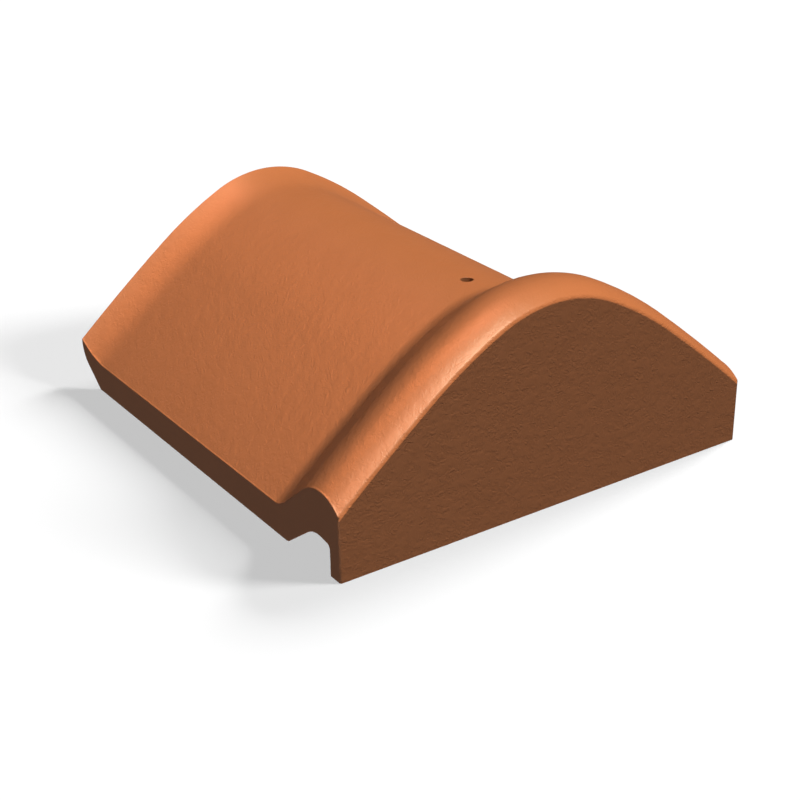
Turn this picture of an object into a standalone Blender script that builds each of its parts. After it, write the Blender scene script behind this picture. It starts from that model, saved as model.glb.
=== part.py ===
"""A closed-end ridge tile, moulded in one piece.

A thin shell with a rounded crown and two flanks covers the ridge. One end is closed by a flat wall
under a thick rounded roll, the other flares up into a lip, and a nail hole goes through the crown.
The tile stands on z = 0. Its ridge runs along Y, with the closed end towards -Y.
"""
from math import acos, asin, ceil, cos, radians, sin, sqrt, tan

import bmesh
import bpy
from mathutils import Matrix, Vector

# Overall sizes, in metres
WIDTH = 0.250
LENGTH = 0.278

# Cross-section of the outer surface: a crown arc, a shoulder arc and a nearly straight flank
CROWN_RADIUS = 0.0614
CROWN_HALF_ANGLE = radians(26.8)
SHOULDER_RADIUS = 0.2225
SHOULDER_ANGLE = radians(11.4)
FLANK_RADIUS = 1.060

# Shell
SHELL_THICKNESS = 0.0129
FOOT_WIDTH = 0.0010

# Roll across the closed end; heights are above the shell's outer surface, along its normal
ROLL_HEIGHT = 0.0183
ROLL_FACE_HEIGHT = 0.0132
ROLL_FRONT_RUN = 0.0087
ROLL_TOP_RUN = 0.0159
ROLL_BACK_RUN = 0.0287
ROLL_FRONT_RADIUS = 0.025
ROLL_BACK_RADIUS = 0.031
VALLEY_RADIUS = 0.020
ARRIS_RADIUS = 0.0025

# Closed end wall and the hollow behind it, under the roll
WALL_THICKNESS = 0.0089
WALL_CORNER_RADIUS = 0.0012
CEILING_DEPTH = 0.0191
CEILING_FALL = radians(6)
CEILING_RADIUS = 0.0214
CEILING_CORNER_RADIUS = 0.0021
RAMP_SLOPE = radians(28.8)
RAMP_END = 0.0475
RAMP_FOOT_RADIUS = 0.005

# Flared lip at the open end
LIP_RISE = 0.0061
LIP_RADIUS = 0.072
LIP_UNDERCUT_LENGTH = 0.0206
LIP_UNDERCUT_SLOPE = radians(29.3)
LIP_UNDERCUT_RADIUS = 0.012

# Nail hole
NAIL_HOLE_DIAMETER = 0.0065
NAIL_HOLE_FROM_FACE = 0.0725

# How far a flat facet may lie from the round surface that it follows
FACET_TOLERANCE = 0.00003
HOLE_SIDES = 24

# How far cutters and trimmed ends run past the tile
OVERRUN = 0.010

# The trimming block stands this far in front of the closed face, so that it leaves the face alone
FACE_CLEARANCE = 0.00002


def facets(angle, radius):
    """Number of flat facets that follow an arc to within the tolerance."""
    return max(2, ceil(angle / (2 * acos(1 - FACET_TOLERANCE / radius))))


def fillet_tangents(corners, radii):
    """Distance from each corner to where its fillet starts, shortened where two fillets meet."""
    wanted = [0.0]
    for before, corner, after, radius in zip(corners, corners[1:], corners[2:], radii[1:]):
        opening = (before - corner).angle(after - corner)
        wanted.append(radius / tan(opening / 2))
    wanted.append(0.0)
    lengths = [(after - before).length for before, after in zip(corners, corners[1:])]
    shares = [length / max(a + b, length) for length, a, b in zip(lengths, wanted, wanted[1:])]
    shares = [1.0] + shares + [1.0]
    return [want * min(left, right) for want, left, right in zip(wanted, shares, shares[1:])]


def rounded_outline(rounded_corners):
    """Points of an open outline. Each corner is given as (along, height, fillet radius)."""
    corners = [Vector(corner[:2]) for corner in rounded_corners]
    tangents = fillet_tangents(corners, [corner[2] for corner in rounded_corners])
    points = [corners[0]]
    for before, corner, after, tangent in zip(corners, corners[1:], corners[2:], tangents[1:]):
        if tangent == 0.0:
            points.append(corner)
            continue
        back = (before - corner).normalized()
        on = (after - corner).normalized()
        opening = back.angle(on)
        turn = radians(180) - opening
        radius = tangent * tan(opening / 2)
        centre = corner + (back + on).normalized() * (radius / sin(opening / 2))
        spoke = corner + back * tangent - centre
        side = -1 if back.cross(on) > 0 else 1
        steps = facets(turn, radius)
        for step in range(steps + 1):
            points.append(centre + Matrix.Rotation(side * turn * step / steps, 2) @ spoke)
    return points + [corners[-1]]


def lip_start():
    """Distance from the closed face at which the flared lip leaves the shell's surface."""
    return LENGTH - sqrt(LIP_RISE * (2 * LIP_RADIUS - LIP_RISE))


def lip_top():
    """Outer surface of the flared lip: an arc that leaves the shell level and rises to the tip."""
    rise_angle = acos(1 - LIP_RISE / LIP_RADIUS)
    steps = facets(rise_angle, LIP_RADIUS)
    angles = [rise_angle * step / steps for step in range(1, steps + 1)]
    return [
        Vector((lip_start() + LIP_RADIUS * sin(angle), LIP_RADIUS * (1 - cos(angle)))) for angle in angles
    ]


def outer_outline():
    """Lengthways outline of the outer surface from the closed face, over the roll, to the lip's start."""
    roll_back = ROLL_FRONT_RUN + ROLL_TOP_RUN
    corners = [
        (0.0, 0.0, 0.0),
        (0.0, ROLL_FACE_HEIGHT, ARRIS_RADIUS),
        (ROLL_FRONT_RUN, ROLL_HEIGHT, ROLL_FRONT_RADIUS),
        (roll_back, ROLL_HEIGHT, ROLL_BACK_RADIUS),
        (roll_back + ROLL_BACK_RUN, 0.0, VALLEY_RADIUS),
        (lip_start(), 0.0, 0.0),
    ]
    return rounded_outline(corners)[1:]


def inner_outline():
    """Lengthways outline of the underside, from the lip's end face back to the wall under the roll."""
    lip_corner = LIP_UNDERCUT_LENGTH * tan(LIP_UNDERCUT_SLOPE) - SHELL_THICKNESS
    ceiling_at_wall = ROLL_HEIGHT - CEILING_DEPTH
    fall = tan(CEILING_FALL)
    ramp = tan(RAMP_SLOPE)
    ramp_run = RAMP_END - WALL_THICKNESS
    ceiling_run = (ramp_run * ramp - SHELL_THICKNESS - ceiling_at_wall) / (ramp + fall)
    corners = [
        (LENGTH, LIP_RISE, 0.0),
        (LENGTH, lip_corner, LIP_UNDERCUT_RADIUS),
        (LENGTH - LIP_UNDERCUT_LENGTH, -SHELL_THICKNESS, 0.0),
        (RAMP_END, -SHELL_THICKNESS, RAMP_FOOT_RADIUS),
        (WALL_THICKNESS + ceiling_run, ceiling_at_wall + ceiling_run * fall, CEILING_RADIUS),
        (WALL_THICKNESS, ceiling_at_wall, CEILING_CORNER_RADIUS),
        (WALL_THICKNESS, -SHELL_THICKNESS, 0.0),
    ]
    return rounded_outline(corners)[1:-1]


def arc_centres():
    """Centres of the crown, shoulder and flank arcs as (x, z), measured from the crown's top."""
    flank_start = CROWN_HALF_ANGLE + SHOULDER_ANGLE
    crown = (0.0, -CROWN_RADIUS)
    to_shoulder = CROWN_RADIUS - SHOULDER_RADIUS
    shoulder = (to_shoulder * sin(CROWN_HALF_ANGLE), crown[1] + to_shoulder * cos(CROWN_HALF_ANGLE))
    to_flank = SHOULDER_RADIUS - FLANK_RADIUS
    flank = (shoulder[0] + to_flank * sin(flank_start), shoulder[1] + to_flank * cos(flank_start))
    return crown, shoulder, flank


def crown_height():
    """Height of the crown that lets the shell's underside come down to the ground at its foot."""
    flank = arc_centres()[2]
    inner_radius = FLANK_RADIUS - SHELL_THICKNESS
    foot_angle = asin((WIDTH / 2 - FOOT_WIDTH - flank[0]) / inner_radius)
    return -(flank[1] + inner_radius * cos(foot_angle))


def spin_last(bm, geometry, centre, angle, radius):
    """Turn the last copy of the outline about an axis along the ridge and give the new last copy."""
    turned = bmesh.ops.spin(
        bm,
        geom=geometry,
        cent=(centre[0], 0.0, centre[1] + crown_height()),
        axis=(0.0, 1.0, 0.0),
        angle=angle,
        steps=facets(angle, radius),
    )
    return turned["geom_last"]


def half_tile_mesh():
    """Half of the tile at +X, open at x = 0, running past the side cut and below the ground."""
    bm = bmesh.new()
    top = crown_height()
    outline = outer_outline() + lip_top() + inner_outline()
    verts = [bm.verts.new((0.0, along, top + height)) for along, height in outline]
    edges = [bm.edges.new(pair) for pair in zip(verts, verts[1:])]

    crown, shoulder, flank = arc_centres()
    flank_start = CROWN_HALF_ANGLE + SHOULDER_ANGLE
    flank_end = asin((WIDTH / 2 + OVERRUN - flank[0]) / (FLANK_RADIUS - SHELL_THICKNESS))
    last = spin_last(bm, verts + edges, crown, CROWN_HALF_ANGLE, CROWN_RADIUS)
    last = spin_last(bm, last, shoulder, SHOULDER_ANGLE, SHOULDER_RADIUS)
    spin_last(bm, last, flank, flank_end - flank_start, FLANK_RADIUS)

    # The wall: both ends of the outline's sweep are drawn straight down and joined under the ground.
    bottom = []
    for plane in (0.0, WALL_THICKNESS):
        rim = [
            edge
            for edge in bm.edges
            if edge.is_boundary and all(abs(vert.co.y - plane) < 1e-6 for vert in edge.verts)
        ]
        drawn = bmesh.ops.extrude_edge_only(bm, edges=rim)["geom"]
        drawn_verts = [item for item in drawn if isinstance(item, bmesh.types.BMVert)]
        for vert in drawn_verts:
            vert.co.z = -OVERRUN
        bottom += [edge for edge in bm.edges if all(vert in drawn_verts for vert in edge.verts)]
    bmesh.ops.bridge_loops(bm, edges=bottom)

    side = [edge for edge in bm.edges if edge.is_boundary and min(vert.co.x for vert in edge.verts) > 1e-6]
    bmesh.ops.holes_fill(bm, edges=side, sides=0)
    bmesh.ops.remove_doubles(bm, verts=bm.verts, dist=1e-6)
    bmesh.ops.recalc_face_normals(bm, faces=bm.faces)

    mesh = bpy.data.meshes.new("ridge_tile")
    bm.to_mesh(mesh)
    bm.free()
    return mesh


def trim_block_mesh():
    """Block that keeps the tile above the ground, between its side cuts, with soft corners at the wall."""
    bm = bmesh.new()
    bmesh.ops.create_cube(bm, size=1.0)
    height = crown_height() + ROLL_HEIGHT + OVERRUN
    length = LENGTH + OVERRUN
    bmesh.ops.scale(bm, vec=(WIDTH, length, height), verts=bm.verts)
    bmesh.ops.translate(bm, vec=(0.0, length / 2 - FACE_CLEARANCE, height / 2), verts=bm.verts)
    corners = [
        edge
        for edge in bm.edges
        if all(vert.co.y < 0.0 for vert in edge.verts) and edge.verts[0].co.x * edge.verts[1].co.x > 0
    ]
    bmesh.ops.bevel(
        bm, geom=corners, offset=WALL_CORNER_RADIUS, segments=3, profile=0.5, affect="EDGES", material=-1
    )
    mesh = bpy.data.meshes.new("trim_block")
    bm.to_mesh(mesh)
    bm.free()
    return mesh


def nail_hole_mesh():
    """Upright round cutter for the nail hole, through the crown."""
    bm = bmesh.new()
    radius = NAIL_HOLE_DIAMETER / 2
    depth = SHELL_THICKNESS + 2 * OVERRUN
    bmesh.ops.create_cone(
        bm, cap_ends=True, segments=HOLE_SIDES, radius1=radius, radius2=radius, depth=depth
    )
    middle = crown_height() - SHELL_THICKNESS / 2
    bmesh.ops.translate(bm, vec=(0.0, NAIL_HOLE_FROM_FACE, middle), verts=bm.verts)
    mesh = bpy.data.meshes.new("nail_hole")
    bm.to_mesh(mesh)
    bm.free()
    return mesh


def terracotta():
    """Plain terracotta finish."""
    material = bpy.data.materials.new("terracotta")
    material.use_nodes = True
    shader = material.node_tree.nodes["Principled BSDF"]
    shader.inputs["Base Color"].default_value = (0.55, 0.19, 0.075, 1.0)
    shader.inputs["Roughness"].default_value = 0.6
    shader.inputs["Metallic"].default_value = 0.0
    return material


def add_object(mesh, collection):
    """Object for a mesh made with y = 0 at the closed face, set so that the tile's middle is at the origin."""
    placed = bpy.data.objects.new(mesh.name, mesh)
    placed.location = (0.0, -LENGTH / 2, 0.0)
    collection.objects.link(placed)
    return placed


def add_cutter(mesh, collection):
    """Object that only cuts."""
    cutter = add_object(mesh, collection)
    cutter.hide_render = True
    cutter.display_type = "WIRE"
    return cutter


def cut(target, cutter, operation):
    """Boolean of the target with a cutter."""
    modifier = target.modifiers.new(cutter.name, "BOOLEAN")
    modifier.object = cutter
    modifier.operation = operation
    modifier.solver = "EXACT"


for old in list(bpy.data.objects):
    bpy.data.objects.remove(old, do_unlink=True)

parts = bpy.data.collections.new("ridge_tile")
cutters = bpy.data.collections.new("cutters")
bpy.context.scene.collection.children.link(parts)
bpy.context.scene.collection.children.link(cutters)

tile = add_object(half_tile_mesh(), parts)
tile.data.materials.append(terracotta())
mirror = tile.modifiers.new("mirror", "MIRROR")
mirror.merge_threshold = 0.00001
cut(tile, add_cutter(trim_block_mesh(), cutters), "INTERSECT")
cut(tile, add_cutter(nail_hole_mesh(), cutters), "DIFFERENCE")
tile.data.shade_smooth()
tile.data.set_sharp_from_angle(angle=radians(30))
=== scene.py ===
from math import acos, asin, ceil, cos, pi, radians, sin, sqrt, tan

import bmesh
import bpy
from mathutils import Matrix, Vector, noise


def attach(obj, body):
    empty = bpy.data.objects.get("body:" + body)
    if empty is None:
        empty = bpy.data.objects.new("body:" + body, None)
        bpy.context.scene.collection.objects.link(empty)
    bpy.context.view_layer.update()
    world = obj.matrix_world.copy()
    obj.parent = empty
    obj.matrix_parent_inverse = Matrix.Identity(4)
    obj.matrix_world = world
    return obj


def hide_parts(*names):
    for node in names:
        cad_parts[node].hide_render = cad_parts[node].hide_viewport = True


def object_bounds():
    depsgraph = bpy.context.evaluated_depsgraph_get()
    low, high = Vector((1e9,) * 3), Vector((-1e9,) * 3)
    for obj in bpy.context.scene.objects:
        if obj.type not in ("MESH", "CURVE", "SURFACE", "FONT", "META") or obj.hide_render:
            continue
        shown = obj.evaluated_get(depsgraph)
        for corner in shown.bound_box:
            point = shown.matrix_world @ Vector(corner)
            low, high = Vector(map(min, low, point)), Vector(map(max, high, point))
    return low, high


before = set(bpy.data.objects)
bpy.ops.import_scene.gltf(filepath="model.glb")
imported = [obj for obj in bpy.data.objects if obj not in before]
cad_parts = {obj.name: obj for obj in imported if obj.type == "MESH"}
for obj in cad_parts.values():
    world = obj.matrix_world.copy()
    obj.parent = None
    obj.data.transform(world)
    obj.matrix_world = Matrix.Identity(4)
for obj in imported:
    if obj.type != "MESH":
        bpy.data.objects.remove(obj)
cad_low, cad_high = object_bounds()

# The ridge tile. One piece of fired clay, pressed in a mould: a rounded shell with a thick roll over its
# closed end wall, a flared lip at the open end and a nail hole. It lies on the ridge, dry or in mortar, and
# a nail through the crown holds it. This keeps the solid's form and adds the clay's grain and worn arrises.
width = cad_high.x - cad_low.x
length = cad_high.y - cad_low.y

# Cross-section of the outer surface: a crown arc, a shoulder arc and a nearly straight flank.
crown_radius, crown_half_angle = 0.0614, radians(26.8)
shoulder_radius, shoulder_angle = 0.2225, radians(11.4)
flank_radius = 1.060
shell_thickness = 0.0129

# How far a shape is drawn past the place where it is cut.
overrun = 0.010

# Roll and lip along the tile. Heights are above the shell's outer surface, along its normal.
roll_height, roll_face_height = 0.0183, 0.0132
roll_front_run, roll_top_run, roll_back_run = 0.0087, 0.0159, 0.0287
roll_front_radius, roll_back_radius = 0.025, 0.031
valley_radius, face_arris_radius = 0.020, 0.0025
lip_rise, lip_radius, lip_arris_radius = 0.0061, 0.072, 0.0006

# End wall, the hollow behind it under the roll, and the undercut of the lip.
wall_thickness, wall_corner_radius = 0.0089, 0.0012
ceiling_depth, ceiling_fall, ceiling_radius, ceiling_corner_radius = 0.0191, radians(6), 0.0214, 0.0021
ramp_slope, ramp_end, ramp_foot_radius = radians(28.8), 0.0475, 0.005
undercut_length, undercut_slope, undercut_radius = 0.0206, radians(29.3), 0.012

nail_hole_diameter, nail_hole_from_face, nail_hole_sides = 0.0065, 0.0725, 48
side_arris = 0.0005

# Mesh spacing, finer where the tile is seen, and the widest step round a fillet.
top_step, under_step, round_step = 0.0015, 0.0030, radians(9)

# Centres of the three arcs, as (x, z) from the crown's top, and the crown's height over the ground.
flank_start = crown_half_angle + shoulder_angle
crown_centre = Vector((0.0, -crown_radius))
shoulder_centre = crown_centre + (crown_radius - shoulder_radius) * Vector(
    (sin(crown_half_angle), cos(crown_half_angle))
)
flank_centre = shoulder_centre + (shoulder_radius - flank_radius) * Vector(
    (sin(flank_start), cos(flank_start))
)
foot_width = 0.0010
foot_angle = asin((width / 2 - foot_width - flank_centre.x) / (flank_radius - shell_thickness))
crown_height = -(flank_centre.y + (flank_radius - shell_thickness) * cos(foot_angle))
face_y = cad_low.y


def rounded(corners, step):
    """Points of an open outline whose corners are (along, height, fillet radius)."""
    places = [Vector(corner[:2]) for corner in corners]
    wanted = [0.0]
    radii = [corner[2] for corner in corners[1:]]
    for before, place, after, radius in zip(places, places[1:], places[2:], radii):
        wanted.append(radius / tan((before - place).angle(after - place) / 2))
    wanted.append(0.0)
    runs = [(after - before).length for before, after in zip(places, places[1:])]
    shares = [run / max(a + b, run) for run, a, b in zip(runs, wanted, wanted[1:])]
    points = [places[0]]
    for i in range(1, len(places) - 1):
        back = (places[i - 1] - places[i]).normalized()
        on = (places[i + 1] - places[i]).normalized()
        opening = back.angle(on)
        tangent = wanted[i] * min(shares[i - 1], shares[i])
        radius = tangent * tan(opening / 2)
        turn = pi - opening
        steps = max(ceil(turn / round_step), ceil(turn * radius / step))
        centre = places[i] + (back + on).normalized() * (radius / sin(opening / 2))
        spoke = places[i] + back * tangent - centre
        side = -1 if back.cross(on) > 0 else 1
        points += [centre + Matrix.Rotation(side * turn * k / steps, 2) @ spoke for k in range(steps + 1)]
    return points + [places[-1]]


def spaced(points, step):
    """The same outline with points added, so that no two are more than a step apart."""
    added = []
    for start, end in zip(points, points[1:]):
        count = ceil((end - start).length / step)
        added += [start.lerp(end, k / count) for k in range(count)]
    return added + [points[-1]]


# The lengthways outline at the crown, from the closed face over the roll to the lip, and back underneath.
lip_start = length - sqrt(lip_rise * (2 * lip_radius - lip_rise))
lip_angle = acos(1 - lip_rise / lip_radius)
roll_back = roll_front_run + roll_top_run
upper = rounded(
    [
        (0.0, 0.0, 0.0),
        (0.0, roll_face_height, face_arris_radius),
        (roll_front_run, roll_height, roll_front_radius),
        (roll_back, roll_height, roll_back_radius),
        (roll_back + roll_back_run, 0.0, valley_radius),
        (lip_start, 0.0, 0.0),
    ],
    top_step,
)
lip_steps = ceil(lip_angle * lip_radius / top_step)
lip = [
    Vector((lip_start + lip_radius * sin(turn), lip_radius * (1 - cos(turn))))
    for turn in (lip_angle * k / lip_steps for k in range(1, lip_steps))
]
ceiling_at_wall = roll_height - ceiling_depth
ramp_run = ramp_end - wall_thickness
ceiling_drop = ramp_run * tan(ramp_slope) - shell_thickness - ceiling_at_wall
ceiling_run = ceiling_drop / (tan(ramp_slope) + tan(ceiling_fall))
lip_tip = rounded(
    [
        tuple(lip[-1]) + (0.0,),
        (length, lip_rise, lip_arris_radius),
        (length, undercut_length * tan(undercut_slope) - shell_thickness, undercut_radius),
        (length - undercut_length, -shell_thickness, 0.0),
    ],
    top_step,
)
under = rounded(
    [
        (length - undercut_length, -shell_thickness, 0.0),
        (ramp_end, -shell_thickness, ramp_foot_radius),
        (wall_thickness + ceiling_run, ceiling_at_wall + ceiling_run * tan(ceiling_fall), ceiling_radius),
        (wall_thickness, ceiling_at_wall, ceiling_corner_radius),
        (wall_thickness, -shell_thickness, 0.0),
    ],
    under_step,
)
outline = spaced(upper[1:] + lip + lip_tip[1:], top_step) + spaced(under[:-1], under_step)[1:]

# One half is spun about the crown's, the shoulder's and the flank's axes in turn, then mirrored.
bm = bmesh.new()
rim = [bm.verts.new((0.0, face_y + point.x, crown_height + point.y)) for point in outline]
last = rim + [bm.edges.new(pair) for pair in zip(rim, rim[1:])]
flank_end = asin((width / 2 + overrun - flank_centre.x) / (flank_radius - shell_thickness))
for centre, angle, radius in (
    (crown_centre, crown_half_angle, crown_radius),
    (shoulder_centre, shoulder_angle, shoulder_radius),
    (flank_centre, flank_end - flank_start, flank_radius),
):
    last = bmesh.ops.spin(
        bm,
        geom=last,
        cent=(centre.x, 0.0, centre.y + crown_height),
        axis=(0.0, 1.0, 0.0),
        angle=angle,
        steps=ceil(angle * radius / top_step),
    )["geom_last"]

# The end wall: both rims of the shell are drawn down past the ground, in rows, and joined there.
same_place, same_plane = 1e-6, 1e-7
outer_rows, inner_rows = 72, 30
for plane, rows in ((face_y, outer_rows), (face_y + wall_thickness, inner_rows)):
    rim = [e for e in bm.edges if e.is_boundary and all(abs(v.co.y - plane) < same_place for v in e.verts)]
    drawn = bmesh.ops.extrude_edge_only(bm, edges=rim)["geom"]
    feet = {item for item in drawn if isinstance(item, bmesh.types.BMVert)}
    for vert in feet:
        vert.co.z = -overrun
    uprights = [e for e in bm.edges if len(feet.intersection(e.verts)) == 1]
    bmesh.ops.subdivide_edges(bm, edges=uprights, cuts=rows, use_grid_fill=True)
open_edges = [e for e in bm.edges if e.is_boundary]
wall_foot = [e for e in open_edges if all(abs(v.co.z + overrun) < same_plane for v in e.verts)]
bmesh.ops.bridge_loops(bm, edges=wall_foot)
bmesh.ops.mirror(bm, geom=bm.verts[:] + bm.edges[:] + bm.faces[:], merge_dist=same_place, axis="X")
bmesh.ops.remove_doubles(bm, verts=bm.verts, dist=same_place)
bmesh.ops.recalc_face_normals(bm, faces=bm.faces)

# The clay's relief: shallow dents, longer one way than the other, pressed into every face.
grain_angle = radians(41)
grain_turn = Matrix.Rotation(-grain_angle, 3, "Z")
grain_size = Vector((0.0090, 0.0042, 0.0042))
grain_depth = 0.00010
bm.normal_update()
for vert in bm.verts:
    place = grain_turn @ vert.co
    place = Vector(p / s for p, s in zip(place, grain_size))
    dent = 0.5 + 0.5 * noise.noise(place)
    vert.co -= vert.normal * grain_depth * dent

# The long sides are cut upright, and each cut gets a narrow rounded arris.
rim_spacing = 0.0003
arris_turns = [radians(turn) for turn in (0, 30, 60, 90)]
for side in (-1, 1):
    cut = bmesh.ops.bisect_plane(
        bm,
        geom=bm.verts[:] + bm.edges[:] + bm.faces[:],
        dist=same_plane,
        plane_co=(side * (width / 2 - side_arris), 0.0, 0.0),
        plane_no=(side, 0.0, 0.0),
        clear_outer=True,
    )
    rim = [item for item in cut["geom_cut"] if isinstance(item, bmesh.types.BMVert)]
    bmesh.ops.remove_doubles(bm, verts=rim, dist=rim_spacing)
    near_side = width / 2 - 2 * side_arris
    rim = [e for e in bm.edges if e.is_boundary and all(v.co.x * side > near_side for v in e.verts)]
    face = bmesh.ops.holes_fill(bm, edges=rim, sides=0)["faces"]
    for before, now in zip(arris_turns, arris_turns[1:]):
        bmesh.ops.inset_region(
            bm,
            faces=face,
            thickness=side_arris * (cos(before) - cos(now)),
            depth=side_arris * (sin(now) - sin(before)),
            use_even_offset=False,
        )
bmesh.ops.recalc_face_normals(bm, faces=bm.faces)
tile_mesh = bpy.data.meshes.new("fired_clay_tile")
bm.to_mesh(tile_mesh)
bm.free()
tile = bpy.data.objects.new("fired_clay_tile", tile_mesh)
bpy.context.scene.collection.objects.link(tile)

# A block keeps what stands above the ground and rounds the end wall's upright corners.
bm = bmesh.new()
bmesh.ops.create_cube(bm, size=1.0)
block_clearance = 0.00002
block_height = crown_height + roll_height + overrun
block_size = (width + 2 * block_clearance, length + overrun, block_height)
block_place = (0.0, overrun / 2 - block_clearance, block_height / 2)
bmesh.ops.scale(bm, vec=block_size, verts=bm.verts)
bmesh.ops.translate(bm, vec=block_place, verts=bm.verts)
front_edges = [e for e in bm.edges if all(v.co.y < 0.0 for v in e.verts)]
corners = [e for e in front_edges if e.verts[0].co.x * e.verts[1].co.x > 0]
bmesh.ops.bevel(
    bm, geom=corners, offset=wall_corner_radius, segments=4, profile=0.5, affect="EDGES", material=-1
)
block_mesh = bpy.data.meshes.new("trim_block")
bm.to_mesh(block_mesh)
bm.free()

# The nail's cutter is round and flares at the crown's top, so that the hole gets a worn rim.
bm = bmesh.new()
hole_radius, hole_rim = nail_hole_diameter / 2, 0.0002
hole_top = crown_height - hole_rim
hole_bottom = hole_top - shell_thickness - overrun
flare = [
    (hole_radius + hole_rim * (1 - cos(turn)), hole_top - hole_rim * (1 - sin(turn)))
    for turn in arris_turns
]
cutter_side = [(0.0, hole_bottom), (hole_radius, hole_bottom)] + flare
cutter_side += [(flare[-1][0], hole_top + overrun), (0.0, hole_top + overrun)]
nail_y = face_y + nail_hole_from_face
verts = [bm.verts.new((x, nail_y, z)) for x, z in cutter_side]
edges = [bm.edges.new(pair) for pair in zip(verts, verts[1:])]
bmesh.ops.spin(
    bm,
    geom=verts + edges,
    cent=(0.0, nail_y, 0.0),
    axis=(0.0, 0.0, 1.0),
    angle=2 * pi,
    steps=nail_hole_sides,
    use_merge=True,
)
bmesh.ops.remove_doubles(bm, verts=bm.verts, dist=same_place)
bmesh.ops.recalc_face_normals(bm, faces=bm.faces)
nail_mesh = bpy.data.meshes.new("nail_cutter")
bm.to_mesh(nail_mesh)
bm.free()

# The block and the nail's cutter are used once each, and the big cut faces stay flat in shading.
for cutter_mesh, operation in ((block_mesh, "INTERSECT"), (nail_mesh, "DIFFERENCE")):
    cutter = bpy.data.objects.new(cutter_mesh.name, cutter_mesh)
    bpy.context.scene.collection.objects.link(cutter)
    modifier = tile.modifiers.new(cutter.name, "BOOLEAN")
    modifier.object = cutter
    modifier.operation = operation
    modifier.solver = "EXACT"
    cut_tile = tile.evaluated_get(bpy.context.evaluated_depsgraph_get())
    cut_mesh = bpy.data.meshes.new_from_object(cut_tile)
    tile.modifiers.clear()
    tile.data = cut_mesh
    bpy.data.objects.remove(cutter)
    bpy.data.meshes.remove(cutter_mesh)
tile.data.name = "fired_clay_tile_cut"
tile.data.shade_smooth()
sharp_angle, big_face = radians(35), 0.00002
tile.data.set_sharp_from_angle(angle=sharp_angle)
for face in tile.data.polygons:
    if face.area > big_face:
        face.use_smooth = False


class Value:
    """A socket of a node tree. Arithmetic on it adds Math nodes, and node() adds any other node."""

    def __init__(self, tree, socket=None):
        self.tree = tree
        self.socket = socket

    def node(self, kind, settings, inputs, output=0):
        """The output of a new node, whose settings are set first and its inputs set or linked next."""
        made = self.tree.nodes.new(kind)
        for name, setting in settings.items():
            setattr(made, name, setting)
        for name, given in inputs.items():
            if isinstance(given, Value):
                self.tree.links.new(given.socket, made.inputs[name])
            else:
                made.inputs[name].default_value = given
        return Value(self.tree, made.outputs[output])

    def math(self, operation, left, right):
        return self.node("ShaderNodeMath", {"operation": operation}, {0: left, 1: right})

    def __add__(self, other):
        return self.math("ADD", self, other)

    def __radd__(self, other):
        return self.math("ADD", other, self)

    def __sub__(self, other):
        return self.math("SUBTRACT", self, other)

    def __rsub__(self, other):
        return self.math("SUBTRACT", other, self)

    def __mul__(self, other):
        return self.math("MULTIPLY", self, other)

    def __rmul__(self, other):
        return self.math("MULTIPLY", other, self)

    def __abs__(self):
        return self.node("ShaderNodeMath", {"operation": "ABSOLUTE"}, {0: self})


def faded(value, start, end, before, after, curve="SMOOTHSTEP"):
    """The share before where the value is below start, after where it is above end, and a mix between."""
    limits = {"From Min": start, "From Max": end, "To Min": before, "To Max": after}
    return value.node("ShaderNodeMapRange", {"interpolation_type": curve}, {"Value": value} | limits)


# Terracotta: an even orange-brown fired clay, unglazed, with a soft sheen and fine short wrinkles left by
# the mould. The wrinkles are deepest on the end wall and nearly gone on the cut sides.
terracotta = bpy.data.materials.new("terracotta")
terracotta.use_nodes = True
tree = terracotta.node_tree
shader = tree.nodes["Principled BSDF"]
shader.inputs["Specular IOR Level"].default_value = 0.8
shader.inputs["Specular Tint"].default_value = (1.0, 0.65, 0.45, 1.0)
clay = Value(tree)
position = clay.node("ShaderNodeTexCoord", {}, {}, "Object")
across = clay.node("ShaderNodeSeparateXYZ", {}, {"Vector": position}, "X")
along = clay.node("ShaderNodeSeparateXYZ", {}, {"Vector": position}, "Y")
grain_tilt, grain_stretch = radians(11), 2.4
along_grain = clay.node(
    "ShaderNodeMapping",
    {"vector_type": "TEXTURE"},
    {"Vector": position, "Rotation": (0.0, grain_tilt, grain_angle), "Scale": (grain_stretch, 1.0, 1.0)},
)
ripple = clay.node(
    "ShaderNodeTexNoise",
    {"noise_dimensions": "3D"},
    {"Vector": along_grain, "Scale": 460.0, "Detail": 1.0, "Roughness": 0.5, "Distortion": 0.4},
    "Fac",
)
patches = clay.node("ShaderNodeTexNoise", {}, {"Vector": position, "Scale": 220.0, "Detail": 1.0}, "Fac")
mottling = clay.node(
    "ShaderNodeTexNoise",
    {},
    {"Vector": position, "Scale": 55.0, "Detail": 3.0, "Roughness": 0.6},
    "Fac",
)

# A wrinkle runs where the ripple is near its middle, inside patches. Wrinkles and ripple keep only a share
# of their depth behind the end wall, and a smaller one on the cut sides.
ripple_middle, crease_end = 0.5, 0.26
patch_start, patch_end = 0.30, 0.60
wall_fade_start, wall_fade_end, behind_wall = 0.0002, 0.0012, 0.34
side_fade_start, side_fade_end, on_cut = 0.0007, 0.0002, 0.15
crease = faded(abs(ripple - ripple_middle), 0.0, crease_end, 1.0, 0.0)
creased = faded(patches, patch_start, patch_end, 0.0, 1.0)
end_wall = faded(along, face_y + wall_fade_start, face_y + wall_fade_end, 1.0, behind_wall, "LINEAR")
moulded = faded(abs(across), width / 2 - side_fade_start, width / 2 - side_fade_end, 1.0, on_cut)
wrinkles = crease * creased * moulded * end_wall

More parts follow.
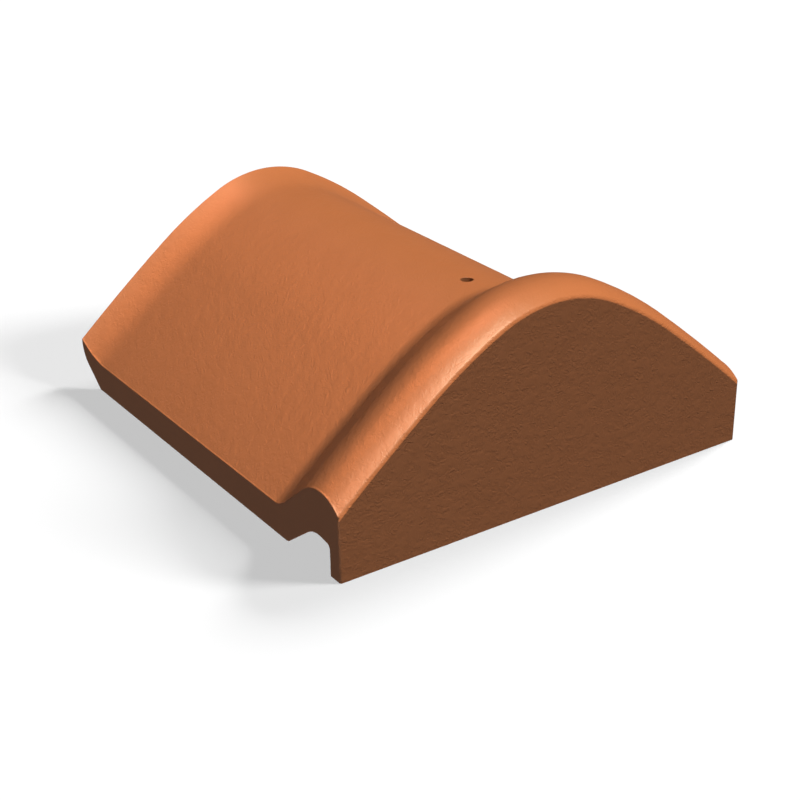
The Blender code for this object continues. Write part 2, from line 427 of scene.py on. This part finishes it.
# Painted shade: the clay is a little darker in the wrinkles. Its mottling leaves it lighter and rougher in
# places.
mottling_share, crease_shade_share = 0.6, 0.4
light_clay = (0.655, 0.199, 0.0675, 1.0)
dark_clay = (0.585, 0.177, 0.0595, 1.0)
# The mix's share is the clay's own mottled tone plus painted shade in the wrinkles.
mottling_and_crease_shade = mottling_share * mottling + crease_shade_share * (1 - wrinkles)
clay_colour = clay.node(
    "ShaderNodeMix", {"data_type": "RGBA"}, {"Factor": mottling_and_crease_shade, 6: dark_clay, 7: light_clay}, 2
)
smoothest, rougher = 0.42, 0.06
clay_roughness = smoothest + rougher * mottling
ripple_height, wrinkle_height, grain_height = 0.5, 0.8, 0.00019
height = ripple_height * ripple * moulded * end_wall - wrinkle_height * wrinkles
clay_bump = clay.node(
    "ShaderNodeBump", {}, {"Height": height, "Strength": 1.0, "Distance": grain_height}
)
tree.links.new(clay_colour.socket, shader.inputs["Base Color"])
tree.links.new(clay_roughness.socket, shader.inputs["Roughness"])
tree.links.new(clay_bump.socket, shader.inputs["Normal"])
tile.data.materials.clear()
tile.data.materials.append(terracotta)

# Light that the clay would throw back onto itself and the floor is left out.
tile.visible_diffuse = False
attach(tile, "root")
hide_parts("ridge_tile")

# The floor is a wide sheet of plain matt card just under the tile's foot. It isn't part of the object, and
# it throws no light back onto the tile.
floor_reach, floor_height = 4.0, -0.0002
floor_mesh = bpy.data.meshes.new("floor")
bm = bmesh.new()
bmesh.ops.create_grid(bm, x_segments=1, y_segments=1, size=floor_reach)
bmesh.ops.translate(bm, verts=bm.verts, vec=(0.0, 0.0, floor_height))
bm.to_mesh(floor_mesh)
bm.free()
floor = bpy.data.objects.new("floor", floor_mesh)
bpy.context.scene.collection.objects.link(floor)
floor_paint = bpy.data.materials.new("floor_paint")
floor_paint.use_nodes = True
floor_shader = floor_paint.node_tree.nodes["Principled BSDF"]
floor_shader.inputs["Base Color"].default_value = (0.8, 0.8, 0.8, 1.0)
floor_shader.inputs["Roughness"].default_value = 1.0
floor_shader.inputs["Specular IOR Level"].default_value = 0.0
floor.data.materials.append(floor_paint)
floor.visible_diffuse = False
floor.visible_glossy = False

# A thin board in the end wall's outline stands just before it, and a small disc over the nail hole. They
# keep the key light off both. They aren't part of the object, and no camera or other light sees them.
flag_gap, wall_relief, corner_reach = 0.0005, 0.00012, 0.0011
bm = bmesh.new()
bm.from_mesh(tile.data)
corner = width / 2 - wall_corner_radius
behind = [
    f
    for f in bm.faces
    if any(v.co.y > face_y + (wall_relief if abs(v.co.x) < corner else corner_reach) for v in f.verts)
]
bmesh.ops.delete(bm, geom=behind, context="FACES")
bmesh.ops.translate(bm, verts=bm.verts, vec=(0.0, -flag_gap, 0.0))
bmesh.ops.create_circle(
    bm,
    cap_ends=True,
    segments=nail_hole_sides,
    radius=hole_radius,
    matrix=Matrix.Translation((0.0, nail_y - flag_gap, crown_height + flag_gap)),
)
flag_mesh = bpy.data.meshes.new("flag")
bm.to_mesh(flag_mesh)
bm.free()
flag = bpy.data.objects.new("flag", flag_mesh)
bpy.context.scene.collection.objects.link(flag)
flag.visible_camera = False
flag.visible_diffuse = False
flag.visible_glossy = False
flag.visible_transmission = False

# The light is all from soft suns. Each row gives the way to its sun and the sun's spread in degrees. The
# first three shape the tile without gloss, the sheens give it only gloss, and the fills light its hollow
# from behind and below. The last three light the floor alone, one evenly and two with the tile's shadow.
groups = {}
for name, members in (("tile_alone", [tile]), ("floor_alone", [floor]), ("tile_and_flag", [tile, flag])):
    groups[name] = bpy.data.collections.new(name)
    for member in members:
        groups[name].objects.link(member)
for name, lights_up, shaded_by, direction, tint, spread, gives in (
    ("key", "tile_alone", "tile_and_flag", (0.25, -0.60, 0.76), (0.720, 0.678, 0.555), 12, "diffuse"),
    ("top", "tile_alone", "tile_alone", (0.30, -0.50, 0.81), (0.422, 0.507, 0.575), 12, "diffuse"),
    ("low_left", "tile_alone", "tile_alone", (-0.90, -0.40, 0.00), (0.100, 0.163, 0.296), 12, "diffuse"),
    ("sheen_front", "tile_alone", "tile_alone", (-0.20, -0.40, 0.90), (1.409, 1.517, 1.494), 20, "gloss"),
    ("sheen_left", "tile_alone", "tile_alone", (-0.61, -0.20, 0.77), (0.518, 0.249, 0.160), 20, "gloss"),
    ("sheen_top", "tile_alone", "tile_alone", (-0.10, 0.35, 0.93), (0.450, 0.215, 0.145), 20, "gloss"),
    ("sheen_back", "tile_alone", "tile_alone", (-0.38, 0.52, 0.77), (0.310, 0.120, 0.040), 20, "gloss"),
    ("fill_behind", "tile_alone", "tile_alone", (0.60, 0.75, -0.30), (0.25, 0.25, 0.25), 40, "diffuse"),
    ("fill_below", "tile_alone", "tile_alone", (0.05, 0.25, -0.97), (0.18, 0.18, 0.18), 40, "diffuse"),
    ("floor_even", "floor_alone", "", (0.0, 0.0, 1.0), (0.66, 0.66, 0.66), 12, "diffuse"),
    ("floor_right", "floor_alone", "tile_alone", (0.71, -0.50, 0.50), (0.60, 0.60, 0.60), 16, "diffuse"),
    ("floor_back", "floor_alone", "tile_alone", (0.78, 0.14, 0.62), (0.50, 0.50, 0.50), 16, "diffuse"),
):
    lamp = bpy.data.lights.new(name, "SUN")
    lamp.energy = pi
    lamp.color = tint
    lamp.angle = radians(spread)
    light = bpy.data.objects.new(name, lamp)
    light.rotation_euler = Vector(direction).to_track_quat("Z", "Y").to_euler()
    light.light_linking.receiver_collection = groups[lights_up]
    if shaded_by:
        light.light_linking.blocker_collection = groups[shaded_by]
    lamp.use_shadow = bool(shaded_by)
    light.visible_diffuse = gives == "diffuse"
    light.visible_glossy = gives == "gloss"
    bpy.context.scene.collection.objects.link(light)

# The air round the tile is white to the camera, as in a white room. To everything else it is only a very
# faint even light, so that no part is fully black.
world = bpy.data.worlds.new("studio")
world.use_nodes = True
sky = Value(world.node_tree)
seen = sky.node("ShaderNodeLightPath", {}, {}, "Is Camera Ray")
faint = 0.03
brightness = seen + faint * (1 - seen)
background = world.node_tree.nodes["Background"]
background.inputs["Color"].default_value = (1.0, 1.0, 1.0, 1.0)
world.node_tree.links.new(brightness.socket, background.inputs["Strength"])
bpy.context.scene.world = world
bpy.context.scene.view_settings.view_transform = "Standard"

# The camera stands where the photograph was taken from: in front of the end wall, to the left and above. Its
# place and turn were worked out from the tile's edges in the photograph, and all of the tile is in focus.
camera_lens = bpy.data.cameras.new("camera")
camera_lens.sensor_width = 36.0
camera_lens.lens = 73.08
camera_lens.clip_start = 0.01
camera_lens.dof.use_dof = False
camera = bpy.data.objects.new("camera", camera_lens)
bpy.context.scene.collection.objects.link(camera)
bpy.context.scene.camera = camera
yaw, pitch, roll = radians(34.108), radians(25.765), radians(0.730)
ahead = Vector((sin(yaw) * cos(pitch), cos(yaw) * cos(pitch), -sin(pitch)))
level_right = Vector((cos(yaw), -sin(yaw), 0.0))
level_down = ahead.cross(level_right)
right = cos(roll) * level_right + sin(roll) * level_down
down = -sin(roll) * level_right + cos(roll) * level_down
camera_turn = Matrix((right, -down, -ahead)).transposed().to_4x4()
camera_place = Vector((-0.45749, -0.68042, 0.39990))
camera.matrix_world = Matrix.Translation(camera_place) @ camera_turn
